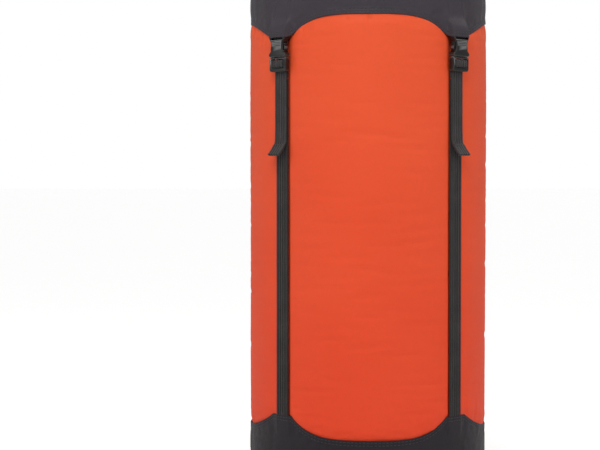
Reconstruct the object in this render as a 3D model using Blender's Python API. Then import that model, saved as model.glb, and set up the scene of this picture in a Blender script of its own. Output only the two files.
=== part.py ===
"""Strap-down compression sack, stuffed and standing at its full length.

Frame: metres, +Z up, origin at the middle of the base panel's underside.
The straps stand 43.6 degrees each side of the front and of the back. The front
faces -Y.
The sack shortens when the upper band and everything on it slides down -Z.
"""

import math

import bpy
from mathutils import Matrix, Vector

# ---------------------------------------------------------------- main sizes
SACK_RADIUS = 0.109
BAND_THICKNESS = 0.0012
FILL_GAP = 0.0003
FILL_RADIUS = SACK_RADIUS - BAND_THICKNESS - FILL_GAP

# Bands: the free edge is scalloped and reaches furthest at the four straps
LOWER_EDGE_MIDDLE = 0.042
LOWER_EDGE_SIDE = 0.044
LOWER_EDGE_STRAP = 0.060
UPPER_EDGE_MIDDLE = 0.411
UPPER_EDGE_STRAP = 0.394
SCALLOP_POWER = 4.0
SCALLOP_NECK = 0.915
SIDE_NECK = 0.83
LOWER_SIDE_POWER = 2.6
UPPER_SIDE_POWER = 1.9
FACE_HALF_ANGLES = {270.0: 43.6, 90.0: 43.6, 0.0: 46.4, 180.0: 46.4, 360.0: 46.4}
SHOULDER_RADIUS = 0.0075
SHOULDER_ANGLE = 60.0
LOWER_SHOULDER_Z = 0.0100
UPPER_SHOULDER_Z = 0.4385

# End panels
PANEL_RADIUS = 0.1042
BASE_THICKNESS = 0.0015
DOME_EDGE_Z = 0.4462
DOME_RISE = 0.0288
DOME_POWER = 2.2
DOME_THICKNESS = 0.0012
PIPING_RADIUS = 0.0011
PIPING_RING_RADIUS = 0.1059
LOWER_PIPING_Z = 0.00185
UPPER_PIPING_Z = 0.44665

# Drawn mouth in the middle of the top panel
MOUTH_HOLE_RADIUS = 0.0185
HEM_RING_RADIUS = 0.0152
HEM_TUBE_RADIUS = 0.0029
HEM_Z = 0.4731
BAFFLE_RADIUS = 0.0150
BAFFLE_THICKNESS = 0.0008
EYELET_OFFSET = 0.0240
EYELET_RING_RADIUS = 0.0024
EYELET_TUBE_RADIUS = 0.0008

# The filling is split in three soft slabs that slide into each other
SLAB_LOW_TOP = 0.1580
SLAB_MID_BOTTOM = 0.1583
SLAB_MID_TOP = 0.3163
SLAB_HIGH_BOTTOM = 0.3166

# Webbing and buckles. U runs across a strap, V up it and W outwards
STRAP_ANGLES = {
    "front_left": 226.4,
    "front_right": 313.6,
    "back_right": 46.4,
    "back_left": 133.6,
}
WEBBING_WIDTH = 0.015
WEBBING_THICKNESS = 0.0011
BUCKLE_BOTTOM_Z = 0.3628
BUCKLE_MIDDLE_RADIUS = SACK_RADIUS + 0.0041
BUCKLE_HALF_WIDTH = 0.0100
MALE_HALF_DEPTH = 0.0025
FEMALE_HALF_DEPTH = 0.0035
LOAD_LAYER_W = -0.00475
TAIL_LAYER_W = -0.00335
STRAP_ANCHOR_Z = 0.0605
STRAP_TOP_V = -0.0065
TAIL_CURL_V = -0.0468
ARM_HINGE_U = 0.0069
ARM_HINGE_V = 0.0139
ARM_ROOT_RADIUS = 0.0009
ARM_HALF_DEPTH = 0.0017

BAND_STEPS = 96
ROUND_STEPS = 64


# ------------------------------------------------------------------ helpers
def clear_scene():
    for item in list(bpy.data.objects):
        bpy.data.objects.remove(item, do_unlink=True)


def make_material(name, colour, roughness, metallic=0.0):
    mat = bpy.data.materials.new(name)
    mat.use_nodes = True
    shader = mat.node_tree.nodes["Principled BSDF"]
    shader.inputs["Base Color"].default_value = (*colour, 1.0)
    shader.inputs["Roughness"].default_value = roughness
    shader.inputs["Metallic"].default_value = metallic
    mat.diffuse_color = (*colour, 1.0)
    return mat


def make_mesh(name, points, faces, smooth_angle=35.0):
    mesh = bpy.data.meshes.new(name)
    mesh.from_pydata([tuple(p) for p in points], [], faces)
    mesh.update()
    mesh.shade_smooth()
    mesh.set_sharp_from_angle(angle=math.radians(smooth_angle))
    return mesh


def add_object(name, mesh, look, matrix=None, origin=(0.0, 0.0, 0.0)):
    """Adds a copy of the mesh, with its own look and its origin where asked."""
    own = mesh.copy()
    own.name = name
    own.transform(Matrix.Translation(-Vector(origin)))
    own.materials.clear()
    own.materials.append(make_material(name, *look))
    item = bpy.data.objects.new(name, own)
    bpy.context.scene.collection.objects.link(item)
    base = Matrix.Identity(4) if matrix is None else matrix
    item.matrix_world = base @ Matrix.Translation(Vector(origin))
    return item


def facing_out(points, faces):
    """The faces, turned round if they enclose a negative volume."""
    volume = 0.0
    for face in faces:
        first = Vector(points[face[0]])
        for second, third in zip(face[1:-1], face[2:]):
            volume += first.dot(Vector(points[second]).cross(Vector(points[third])))
    if volume < 0.0:
        return [tuple(reversed(face)) for face in faces]
    return faces


def ring_mesh(name, section_at, steps, smooth_angle=35.0):
    """A closed ring about Z. section_at gives the (radius, z) loop at an angle."""
    points, faces = [], []
    count = len(section_at(0.0))
    for step in range(steps):
        angle = 2.0 * math.pi * step / steps
        for radius, height in section_at(math.degrees(angle)):
            points.append((radius * math.cos(angle), radius * math.sin(angle), height))
    for step in range(steps):
        here = step * count
        there = ((step + 1) % steps) * count
        for k in range(count):
            k_next = (k + 1) % count
            faces.append((here + k, there + k, there + k_next, here + k_next))
    return make_mesh(name, points, facing_out(points, faces), smooth_angle)


def turned_mesh(name, profile, steps, smooth_angle=35.0):
    """A solid about Z. The (radius, z) profile starts and ends on the axis."""
    points = [(0.0, 0.0, profile[0][1]), (0.0, 0.0, profile[-1][1])]
    inner = profile[1:-1]
    for step in range(steps):
        angle = 2.0 * math.pi * step / steps
        for radius, height in inner:
            points.append((radius * math.cos(angle), radius * math.sin(angle), height))
    count = len(inner)
    faces = []
    for step in range(steps):
        here = 2 + step * count
        there = 2 + ((step + 1) % steps) * count
        faces.append((0, there, here))
        for k in range(count - 1):
            faces.append((here + k, there + k, there + k + 1, here + k + 1))
        faces.append((1, here + count - 1, there + count - 1))
    return make_mesh(name, points, facing_out(points, faces), smooth_angle)


def prism_mesh(name, outline, low_w, high_w, smooth_angle=35.0):
    """A (u, v) outline given a depth along w."""
    count = len(outline)
    points = [(u, v, low_w) for u, v in outline] + [(u, v, high_w) for u, v in outline]
    faces = [tuple(range(count)), tuple(range(2 * count - 1, count - 1, -1))]
    for k in range(count):
        k_next = (k + 1) % count
        faces.append((k, k + count, k_next + count, k_next))
    return make_mesh(name, points, facing_out(points, faces), smooth_angle)


def box_mesh(name, low, high):
    outline = [
        (low[0], low[1]),
        (high[0], low[1]),
        (high[0], high[1]),
        (low[0], high[1]),
    ]
    return prism_mesh(name, outline, low[2], high[2])


def strip_mesh(name, path, width, thickness):
    """Webbing whose middle line is a list of (v, w) points."""
    low_side, high_side = [], []
    last = len(path) - 1
    for k, (v, w) in enumerate(path):
        before = Vector(path[max(k - 1, 0)])
        after = Vector(path[min(k + 1, last)])
        here = Vector((v, w))
        into = (here - before).normalized() if k > 0 else (after - here).normalized()
        out = (after - here).normalized() if k < last else into
        normal_in = Vector((-into.y, into.x))
        normal_out = Vector((-out.y, out.x))
        normal = (normal_in + normal_out).normalized()
        reach = 0.5 * thickness[k] / max(normal.dot(normal_in), 0.6)
        low_side.append(here - normal * reach)
        high_side.append(here + normal * reach)
    loop = low_side + high_side[::-1]
    half = 0.5 * width
    count = len(loop)
    points = [(-half, p.x, p.y) for p in loop] + [(half, p.x, p.y) for p in loop]
    faces = []
    for k in range(count):
        k_next = (k + 1) % count
        faces.append((k, k_next, k_next + count, k + count))
    for k in range(last):
        far = count - 1 - k
        faces.append((k, k + 1, far - 1, far))
        faces.append((far + count, far - 1 + count, k + 1 + count, k + count))
    return make_mesh(name, points, consistent(points, faces), 50.0)


def consistent(points, faces):
    """Faces of a strip, turned so that side and end faces agree and face out."""
    sides = faces[: len(points) // 2]
    ends = faces[len(points) // 2 :]
    turned = [sides + ends, sides + [tuple(reversed(face)) for face in ends]]
    for chosen in turned:
        edges = set()
        agree = True
        for face in chosen:
            for a, b in zip(face, face[1:] + face[:1]):
                agree = agree and (a, b) not in edges
                edges.add((a, b))
        if agree:
            return facing_out(points, chosen)
    return faces


def combined(name, mesh, steps, bevel=0.0):
    """The mesh after a small bevel and a list of (operation, mesh) Booleans."""
    item = bpy.data.objects.new(name, mesh)
    bpy.context.scene.collection.objects.link(item)
    helpers = [item]
    if bevel > 0.0:
        rounding = item.modifiers.new("edge", "BEVEL")
        rounding.width = bevel
        rounding.segments = 2
        rounding.limit_method = "ANGLE"
        rounding.angle_limit = math.radians(50.0)
    for k, (operation, other) in enumerate(steps):
        helper = bpy.data.objects.new(f"{name}_{k}", other)
        bpy.context.scene.collection.objects.link(helper)
        helpers.append(helper)
        joined = item.modifiers.new(f"step_{k}", "BOOLEAN")
        joined.operation = operation
        joined.solver = "EXACT"
        joined.object = helper
    bpy.context.view_layer.update()
    graph = bpy.context.evaluated_depsgraph_get()
    result = bpy.data.meshes.new_from_object(item.evaluated_get(graph))
    for helper in helpers:
        bpy.data.objects.remove(helper, do_unlink=True)
    result.shade_smooth()
    result.set_sharp_from_angle(angle=math.radians(35.0))
    return result


def mirrored(half):
    """A whole (u, v) outline from its right half, listed upwards."""
    return list(half) + [(-u, v) for u, v in reversed(half)]


def strap_matrix(angle_degrees):
    """Takes (u, v, w) at a strap to the world."""
    angle = math.radians(angle_degrees)
    c, s = math.cos(angle), math.sin(angle)
    return Matrix(
        (
            (-s, 0.0, c, BUCKLE_MIDDLE_RADIUS * c),
            (c, 0.0, s, BUCKLE_MIDDLE_RADIUS * s),
            (0.0, 1.0, 0.0, BUCKLE_BOTTOM_Z),
            (0.0, 0.0, 0.0, 1.0),
        )
    )


# -------------------------------------------------------------- body shapes
def nearest_face(angle_degrees):
    """Share of the way from a face's middle (0) to a strap (1), and its half angle."""
    turned = angle_degrees % 360.0
    return min(
        (abs(turned - face) / half, half) for face, half in FACE_HALF_ANGLES.items()
    )


def scallop(angle_degrees, side_power):
    """0 midway between two straps, 1 across each strap; fuller on the two sides."""
    share, half = nearest_face(angle_degrees)
    if half > 45.0:
        return min(share / SIDE_NECK, 1.0) ** side_power
    return min(share / SCALLOP_NECK, 1.0) ** SCALLOP_POWER


def shoulder_arc(centre_z, sign, radius, pieces=3):
    centre_r = SACK_RADIUS - SHOULDER_RADIUS
    arc = []
    for k in range(pieces + 1):
        angle = math.radians(SHOULDER_ANGLE * k / pieces)
        arc.append(
            (
                centre_r + radius * math.cos(angle),
                centre_z + sign * radius * math.sin(angle),
            )
        )
    return arc


def band_section(edge_z, shoulder_z, sign):
    outer = [(SACK_RADIUS, edge_z)] + shoulder_arc(shoulder_z, sign, SHOULDER_RADIUS)
    inner = shoulder_arc(shoulder_z, sign, SHOULDER_RADIUS - BAND_THICKNESS)
    inner = inner[::-1] + [(SACK_RADIUS - BAND_THICKNESS, edge_z)]
    return outer + inner


def lower_band_section(angle):
    on_side = nearest_face(angle)[1] > 45.0
    start = LOWER_EDGE_SIDE if on_side else LOWER_EDGE_MIDDLE
    edge = start + (LOWER_EDGE_STRAP - start) * scallop(angle, LOWER_SIDE_POWER)
    return band_section(edge, LOWER_SHOULDER_Z, -1)


def upper_band_section(angle):
    drop = UPPER_EDGE_MIDDLE - UPPER_EDGE_STRAP
    edge = UPPER_EDGE_MIDDLE - drop * scallop(angle, UPPER_SIDE_POWER)
    return band_section(edge, UPPER_SHOULDER_Z, 1)


def dome_z(radius):
    return DOME_EDGE_Z + DOME_RISE * (1.0 - (radius / PANEL_RADIUS) ** DOME_POWER)


def top_panel_section(_angle):
    pieces = 6
    radii = [
        MOUTH_HOLE_RADIUS + (PANEL_RADIUS - MOUTH_HOLE_RADIUS) * k / pieces
        for k in range(pieces + 1)
    ]
    outer = [(r, dome_z(r)) for r in radii]
    inner = [(r, dome_z(r) - DOME_THICKNESS) for r in reversed(radii)]
    return outer + inner


def round_section(ring_radius, centre_z, tube_radius, pieces):
    loop = []
    for k in range(pieces):
        angle = 2.0 * math.pi * (k + 0.5) / pieces
        loop.append(
            (
                ring_radius + tube_radius * math.cos(angle),
                centre_z + tube_radius * math.sin(angle),
            )
        )
    return loop


def hem_section(angle):
    """The drawn hem is gathered, so its tube swells and thins round the ring."""
    swell = 1.0 + 0.08 * math.cos(math.radians(angle * 12.0))
    return round_section(HEM_RING_RADIUS, HEM_Z, HEM_TUBE_RADIUS * swell - 0.0002, 8)


def slab_low_profile():
    arc = shoulder_arc(
        LOWER_SHOULDER_Z, -1, SHOULDER_RADIUS - BAND_THICKNESS - FILL_GAP
    )
    foot_z = BASE_THICKNESS + FILL_GAP
    profile = [(0.0, foot_z), (0.0990, foot_z)]
    profile += arc[::-1]
    profile += [(FILL_RADIUS, SLAB_LOW_TOP), (0.0, SLAB_LOW_TOP)]
    return profile


def slab_high_profile():
    arc = shoulder_arc(UPPER_SHOULDER_Z, 1, SHOULDER_RADIUS - BAND_THICKNESS - FILL_GAP)
    drop = DOME_THICKNESS + FILL_GAP
    profile = [(0.0, SLAB_HIGH_BOTTOM), (FILL_RADIUS, SLAB_HIGH_BOTTOM)]
    profile += arc[:-1]
    for share in (0.92, 0.75, 0.55, 0.36):
        radius = PANEL_RADIUS * share
        profile.append((radius, dome_z(radius) - drop))
    pocket_z = HEM_Z - HEM_TUBE_RADIUS - BAFFLE_THICKNESS - 3.0 * FILL_GAP
    profile.append((0.0240, pocket_z))
    profile.append((0.0, pocket_z))
    return profile


# ----------------------------------------------------------- buckle shapes
def male_mesh():
    half = [
        (0.0082, 0.0),
        (0.0094, 0.0005),
        (BUCKLE_HALF_WIDTH, 0.0016),
        (BUCKLE_HALF_WIDTH, 0.0116),
        (0.0094, 0.0125),
    ]
    frame = prism_mesh("frame", mirrored(half), -MALE_HALF_DEPTH, MALE_HALF_DEPTH)
    slot = 0.0078
    low_slot = box_mesh("low_slot", (-slot, 0.0030, -0.004), (slot, 0.0050, 0.004))
    high_slot = box_mesh("high_slot", (-slot, 0.0090, -0.004), (slot, 0.0114, 0.004))
    front = box_mesh("front_recess", (-slot, 0.0040, 0.0016), (slot, 0.0102, 0.004))
    back = box_mesh("back_recess", (-slot, -0.0010, -0.004), (slot, 0.0102, -0.0018))
    tongue_half = [
        (0.0020, 0.0119),
        (0.0020, 0.0228),
        (0.0012, 0.0240),
    ]
    tongue = prism_mesh("tongue", mirrored(tongue_half), -0.0013, 0.0013)
    steps = [
        ("DIFFERENCE", low_slot),
        ("DIFFERENCE", high_slot),
        ("DIFFERENCE", front),
        ("DIFFERENCE", back),
        ("UNION", tongue),
    ]
    return combined("male", frame, steps, bevel=0.0006)


def female_mesh():
    half = [
        (0.0090, 0.0130),
        (BUCKLE_HALF_WIDTH, 0.0142),
        (BUCKLE_HALF_WIDTH, 0.0176),
        (0.0096, 0.0183),
        (0.0068, 0.0187),
        (0.0060, 0.0198),
        (0.0056, 0.0215),
        (0.0058, 0.0235),
        (0.0066, 0.0255),
        (0.0080, 0.0270),
        (0.0096, 0.0280),
        (0.0102, 0.0295),
        (0.0102, 0.0315),
        (0.0096, 0.0332),
        (0.0084, 0.0340),
    ]
    shell = prism_mesh("shell", mirrored(half), -FEMALE_HALF_DEPTH, FEMALE_HALF_DEPTH)
    cavity_half = [(0.0082, 0.0120), (0.0082, 0.0252), (0.0070, 0.0266)]
    cavity = prism_mesh("cavity", mirrored(cavity_half), -0.0020, 0.0020)
    slot = box_mesh("loop_slot", (-0.0079, 0.0278, -0.005), (0.0079, 0.0314, 0.005))
    front = box_mesh("bar_front", (-0.0079, 0.0302, 0.0019), (0.0079, 0.0360, 0.005))
    back = box_mesh("bar_back", (-0.0079, 0.0302, -0.005), (0.0079, 0.0360, -0.0019))
    steps = [
        ("DIFFERENCE", cavity),
        ("DIFFERENCE", slot),
        ("DIFFERENCE", front),
        ("DIFFERENCE", back),
    ]
    return combined("female", shell, steps, bevel=0.0007)


def arm_outline(side):
    """One spring arm with a round root, a catch shoulder and a tapered tip."""
    outline = []
    for k in range(9):
        angle = math.radians(180.0 + 22.5 * k)
        outline.append(
            (
                ARM_HINGE_U + ARM_ROOT_RADIUS * math.cos(angle),
                ARM_HINGE_V + ARM_ROOT_RADIUS * math.sin(angle),
            )
        )
    outline += [
        (0.0078, 0.0184),
        (0.0080, 0.0191),
        (0.0092, 0.0192),
        (0.0093, 0.0198),
        (0.0091, 0.0212),
        (0.0084, 0.0232),
        (0.0077, 0.0247),
        (0.0070, 0.0253),
        (0.0063, 0.0249),
        (0.0063, 0.0235),
        (0.0067, 0.0215),
        (0.0066, 0.0192),
        (0.0061, 0.0172),
    ]
    return [(side * u, v) for u, v in outline]


def tail_path():
    """Up behind the buckle, round its middle bar, then down to a turned-out end."""
    path = [
        (-0.0055, LOAD_LAYER_W),
        (0.0055, LOAD_LAYER_W),
        (0.0085, -0.00430),
        (0.0099, -0.00300),
        (0.0102, -0.00100),
        (0.0102, 0.00080),
        (0.0098, 0.00220),
        (0.0087, 0.00280),
        (0.0053, 0.00280),
        (0.0042, 0.00220),
        (0.0040, 0.00080),
        (0.0040, -0.00120),
        (0.0039, -0.00270),
        (0.0024, TAIL_LAYER_W),
        (0.0000, TAIL_LAYER_W),
        (TAIL_CURL_V, TAIL_LAYER_W),
        (-0.0548, -0.00300),
        (-0.0608, -0.00200),
        (-0.0650, -0.00040),
        (-0.0683, 0.00180),
        (-0.0710, 0.00410),
        (-0.0732, 0.00620),
    ]
    thickness = [WEBBING_THICKNESS] * (len(path) - 3)
    thickness += [0.0022, 0.0022, 0.0022]
    return path, thickness


def loop_path():
    """From the band, behind and through the buckle's slot, and back to the band."""
    path = [
        (0.0460, -0.00325),
        (0.0400, -0.00325),
        (0.0365, -0.00310),
        (0.0340, -0.00300),
        (0.0318, -0.00290),
        (0.0307, -0.00220),
        (0.0304, -0.00080),
        (0.0304, 0.00080),
        (0.0307, 0.00220),
        (0.0318, 0.00290),
        (0.0338, 0.00280),
        (0.0354, 0.00180),
        (0.0372, 0.00020),
        (0.0390, -0.00110),
        (0.0410, -0.00170),
        (0.0460, -0.00185),
    ]
    return path, [WEBBING_THICKNESS] * len(path)


# -------------------------------------------------------------------- build
ORANGE = ((0.80, 0.11, 0.035), 0.65)
GREY = ((0.050, 0.045, 0.048), 0.75)
WEBBING = ((0.040, 0.040, 0.040), 0.80)
PLASTIC = ((0.025, 0.028, 0.026), 0.42)
STEEL = ((0.42, 0.42, 0.43), 0.35, 1.0)


def build_body():
    foot = [
        (0.0, 0.0),
        (PANEL_RADIUS, 0.0),
        (PANEL_RADIUS, BASE_THICKNESS),
        (0.0, BASE_THICKNESS),
    ]
    add_object("base_panel", turned_mesh("base", foot, ROUND_STEPS), GREY)
    lower = ring_mesh("lower", lower_band_section, BAND_STEPS)
    add_object("lower_band", lower, GREY)
    upper = ring_mesh("upper", upper_band_section, BAND_STEPS)
    add_object("upper_band", upper, GREY)
    for name, height in (
        ("base_piping", LOWER_PIPING_Z),
        ("top_piping", UPPER_PIPING_Z),
    ):
        section = round_section(PIPING_RING_RADIUS, height, PIPING_RADIUS, 6)
        bead = ring_mesh(name, lambda _angle, loop=section: loop, ROUND_STEPS, 70.0)
        add_object(name, bead, GREY)
    panel = ring_mesh("panel", top_panel_section, ROUND_STEPS)
    add_object("top_panel", panel, ORANGE)
    low = turned_mesh("low", slab_low_profile(), ROUND_STEPS)
    add_object("body_lower", low, ORANGE)
    middle = [
        (0.0, SLAB_MID_BOTTOM),
        (FILL_RADIUS, SLAB_MID_BOTTOM),
        (FILL_RADIUS, SLAB_MID_TOP),
        (0.0, SLAB_MID_TOP),
    ]
    add_object("body_middle", turned_mesh("mid", middle, ROUND_STEPS), ORANGE)
    high = turned_mesh("high", slab_high_profile(), ROUND_STEPS)
    add_object("body_upper", high, ORANGE)


def build_mouth():
    hem = ring_mesh("hem", hem_section, 48, 70.0)
    add_object("mouth_hem", hem, ORANGE)
    top = HEM_Z - HEM_TUBE_RADIUS - FILL_GAP
    baffle = [
        (0.0, top - BAFFLE_THICKNESS),
        (BAFFLE_RADIUS, top - BAFFLE_THICKNESS),
        (BAFFLE_RADIUS, top),
        (0.0, top),
    ]
    add_object("throat_baffle", turned_mesh("baffle", baffle, 32), GREY)
    loop = round_section(EYELET_RING_RADIUS, 0.0, EYELET_TUBE_RADIUS, 6)
    eyelet = ring_mesh("eyelet", lambda _angle: loop, 20, 70.0)
    outer = EYELET_OFFSET - EYELET_RING_RADIUS - EYELET_TUBE_RADIUS
    height = dome_z(outer) + FILL_GAP + EYELET_TUBE_RADIUS
    for name, side in (("cord_eyelet_left", -1.0), ("cord_eyelet_right", 1.0)):
        place = Matrix.Translation(Vector((side * EYELET_OFFSET, 0.0, height)))
        add_object(name, eyelet, STEEL, place)


def build_straps():
    male = male_mesh()
    female = female_mesh()
    arms = {}
    for label, side in (("left", -1.0), ("right", 1.0)):
        outline = arm_outline(side)
        arms[label, side] = prism_mesh(label, outline, -ARM_HALF_DEPTH, ARM_HALF_DEPTH)
    path, thickness = tail_path()
    tail = strip_mesh("tail", path, WEBBING_WIDTH, thickness)
    path, thickness = loop_path()
    loop = strip_mesh("loop", path, WEBBING_WIDTH, thickness)
    low_v = STRAP_ANCHOR_Z - BUCKLE_BOTTOM_Z
    path = [(low_v, LOAD_LAYER_W), (STRAP_TOP_V, LOAD_LAYER_W)]
    web = strip_mesh("web", path, WEBBING_WIDTH, [WEBBING_THICKNESS] * 2)
    for where, angle in STRAP_ANGLES.items():
        matrix = strap_matrix(angle)
        add_object(f"buckle_male_{where}", male, PLASTIC, matrix)
        add_object(f"buckle_female_{where}", female, PLASTIC, matrix)
        for (label, side), arm in arms.items():
            hinge = (side * ARM_HINGE_U, ARM_HINGE_V, 0.0)
            add_object(f"arm_{label}_{where}", arm, PLASTIC, matrix, hinge)
        add_object(f"strap_tail_{where}", tail, WEBBING, matrix)
        add_object(f"upper_loop_{where}", loop, WEBBING, matrix)
        add_object(f"strap_web_{where}", web, WEBBING, matrix)


clear_scene()
build_body()
build_mouth()
build_straps()
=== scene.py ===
"""Looks for the strap-down compression sack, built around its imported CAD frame.

Metres, +Z up, the sack's axis on Z, its front facing -Y. Local strap places are
(u, v, w): across the strap, up from the buckle, and out from the buckle's middle.
"""

import math

import bpy
import numpy as np
from mathutils import Matrix, Vector


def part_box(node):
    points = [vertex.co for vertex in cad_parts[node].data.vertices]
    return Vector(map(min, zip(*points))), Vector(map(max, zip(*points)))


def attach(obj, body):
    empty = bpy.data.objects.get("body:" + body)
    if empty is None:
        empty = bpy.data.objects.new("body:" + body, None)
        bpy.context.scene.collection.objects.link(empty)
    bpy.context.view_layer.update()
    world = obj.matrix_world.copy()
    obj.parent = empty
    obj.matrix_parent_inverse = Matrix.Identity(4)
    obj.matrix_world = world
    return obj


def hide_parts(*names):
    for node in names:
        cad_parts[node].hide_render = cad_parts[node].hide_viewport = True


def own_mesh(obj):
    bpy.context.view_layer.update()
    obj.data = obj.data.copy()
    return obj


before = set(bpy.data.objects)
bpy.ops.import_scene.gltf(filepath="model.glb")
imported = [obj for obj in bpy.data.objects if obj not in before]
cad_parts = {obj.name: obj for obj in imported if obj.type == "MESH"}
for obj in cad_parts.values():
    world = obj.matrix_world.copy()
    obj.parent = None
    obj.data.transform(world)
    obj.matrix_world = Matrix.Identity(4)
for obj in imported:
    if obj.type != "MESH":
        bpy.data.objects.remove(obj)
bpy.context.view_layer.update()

# ---- sizes
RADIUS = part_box("lower_band")[1].x
LOW_MIDDLE = 0.042
LOW_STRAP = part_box("lower_band")[1].z
HIGH_MIDDLE = 0.411
HIGH_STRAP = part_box("upper_band")[0].z - 0.0012
HALF_Z = 0.5 * (LOW_MIDDLE + HIGH_MIDDLE)
FRONT_NECK, SIDE_NECK = 0.885, 0.83
FRONT_POWER, LOW_SIDE_POWER, HIGH_SIDE_POWER = 4.0, 2.6, 1.9
LOW_SIDE_LIFT = 0.002
SHOULDER = 0.0075
LOW_SHOULDER_Z = 0.01
HIGH_SHOULDER_Z = 0.4385
PANEL_RADIUS = 0.1042
DOME_EDGE_Z = 0.4462
DOME_RISE = 0.0288
HEM_Z = 0.4731
HEM_RING = 0.0152
# The angle of each strap, and the middle and half angle of each panel, in degrees.
STRAPS = {
    "front_left": 225.8, "front_right": 314.2, "back_right": 45.8, "back_left": 134.2,
}
FACES = {
    "front": (270.0, 44.2), "right": (0.0, 45.8), "back": (90.0, 44.2),
    "left": (180.0, 45.8),
}
BUCKLE_Z = 0.3628
BUCKLE_RADIUS = RADIUS + 0.0041
WEB_FOOT_V = 0.063 - BUCKLE_Z
WEB_LAYER = -0.004
WEB_HALF_WIDTH = 0.0075
WEB_TOP_LENGTH = 0.02
BED_HALF_WIDTH = 0.013
CORE_RADIUS = 0.0985
PANEL_EDGE = 0.1052
MOUTH_EDGE = 0.0182
STITCH_LINES = (0.0016, 0.0042)
PANEL_SIDE = 0.0081
TAU = 2.0 * math.pi


# ---- number helpers
def cells(x, y):
    """The unit cell that each place lies in, and how far into it."""
    x, y = np.broadcast_arrays(np.asarray(x, float), np.asarray(y, float))
    xi, yi = np.floor(x).astype(int), np.floor(y).astype(int)
    return xi, yi, x - xi, y - yi


def smooth_noise(x, y, seed, wrap=None):
    """Value noise from -1 to 1 on a unit grid, repeating in x where asked."""
    table = np.random.RandomState(seed).uniform(-1.0, 1.0, (256, 256))
    xi, yi, fx, fy = cells(x, y)
    fx = fx * fx * fx * (fx * (fx * 6.0 - 15.0) + 10.0)
    fy = fy * fy * fy * (fy * (fy * 6.0 - 15.0) + 10.0)
    x0, x1 = (xi % wrap, (xi + 1) % wrap) if wrap else (xi % 256, (xi + 1) % 256)
    y0, y1 = yi % 256, (yi + 1) % 256
    low = table[x0, y0] * (1.0 - fx) + table[x1, y0] * fx
    high = table[x0, y1] * (1.0 - fx) + table[x1, y1] * fx
    return low * (1.0 - fy) + high * fy


def ring_noise(phi, count, y, seed):
    """Value noise that repeats once round the sack, with count cells on the way."""
    return smooth_noise(phi / TAU * count, y, seed, count)


def step(x, low, high):
    """0 below low, 1 above high, smooth between."""
    t = np.clip((np.asarray(x, float) - low) / (high - low), 0.0, 1.0)
    return t * t * (3.0 - 2.0 * t)


def nearest_face(phi):
    """Share of the way from a face's middle to a strap, -1 to 1, and its half angle."""
    share = np.full(np.shape(phi), 9.0)
    half = np.zeros(np.shape(phi))
    for centre, width in FACES.values():
        turned = (np.mod(np.degrees(phi) - centre + 180.0, 360.0) - 180.0) / width
        closer = np.abs(turned) < np.abs(share)
        share, half = np.where(closer, turned, share), np.where(closer, width, half)
    return share, half


def strap_distance(phi):
    """Distance along the sack's surface to the nearest strap's line."""
    share, half = nearest_face(phi)
    return (1.0 - np.abs(share)) * np.radians(half) * RADIUS


def scallop(phi, side_power):
    """0 midway between two straps, 1 at each; the side panels' curve is fuller."""
    share, half = nearest_face(phi)
    side = half > 45.0
    neck = np.where(side, SIDE_NECK, FRONT_NECK)
    power = np.where(side, side_power, FRONT_POWER)
    return np.minimum(np.abs(share) / neck, 1.0) ** power


def low_edge(phi):
    side = nearest_face(phi)[1] > 45.0
    start = LOW_MIDDLE + LOW_SIDE_LIFT * side
    return start + (LOW_STRAP - start) * scallop(phi, LOW_SIDE_POWER)


def high_edge(phi):
    return HIGH_MIDDLE - (HIGH_MIDDLE - HIGH_STRAP) * scallop(phi, HIGH_SIDE_POWER)


def dome_z(radius):
    return DOME_EDGE_Z + DOME_RISE * (1.0 - (radius / PANEL_RADIUS) ** 2.2)


def around(count):
    """Evenly spaced angles round the sack."""
    return np.linspace(0.0, TAU, count, endpoint=False)


def crossed(first, second):
    return np.meshgrid(first, second, indexing="ij")


def heading(angle):
    """Cosine and sine of an angle in degrees."""
    return math.cos(math.radians(angle)), math.sin(math.radians(angle))


def polar(phi, radius, z):
    phi, radius, z = np.broadcast_arrays(phi, radius, z)
    return np.stack([radius * np.cos(phi), radius * np.sin(phi), z], -1)


# ---- object and mesh helpers
def linked(name, data):
    """A new object in the scene."""
    item = bpy.data.objects.new(name, data)
    bpy.context.scene.collection.objects.link(item)
    return item


def aimed(item, place, ahead):
    """Puts a camera or lamp at a place, pointing along ahead."""
    item.location = place
    item.rotation_mode = "QUATERNION"
    item.rotation_quaternion = ahead.to_track_quat("-Z", "Y")


def grid_faces(rows, columns, close_rows=False, close_columns=False):
    """Quads of a grid whose points are numbered row by row."""
    r = np.arange(rows if close_rows else rows - 1)
    c = np.arange(columns if close_columns else columns - 1)
    r, c = crossed(r, c)
    r2, c2 = (r + 1) % rows, (c + 1) % columns
    quads = [r * columns + c, r * columns + c2, r2 * columns + c2, r2 * columns + c]
    return np.stack(quads, -1).reshape(-1, 4)


def dress(item, slot, body, *cad):
    """The body a piece rides and the CAD nodes it stands for, which get hidden; slot is
    not used.
    """
    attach(item, body)
    if cad:
        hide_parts(*cad)


def add_mesh(name, points, faces, material, matrix=None):
    mesh = bpy.data.meshes.new(name)
    mesh.from_pydata(np.asarray(points).reshape(-1, 3).tolist(), [], faces)
    mesh.validate()
    mesh.update()
    # Rest height, which the cloth looks read for their painted light by height.
    height = mesh.attributes.new("rest_height", "FLOAT", "POINT")
    heights = np.array([vertex.co.z for vertex in mesh.vertices])
    height.data.foreach_set("value", heights)
    mesh.shade_smooth()
    item = linked(name, mesh)
    mesh.materials.append(material)
    if matrix is not None:
        item.matrix_world = matrix
    return item


def add_grid(name, points, material, close_rows=False, close_columns=False, flip=False):
    """A sheet through a (rows, columns, 3) array."""
    rows, columns = points.shape[:2]
    faces = grid_faces(rows, columns, close_rows, close_columns)
    if flip:
        faces = faces[:, ::-1]
    return add_mesh(name, points, faces.tolist(), material)


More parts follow.
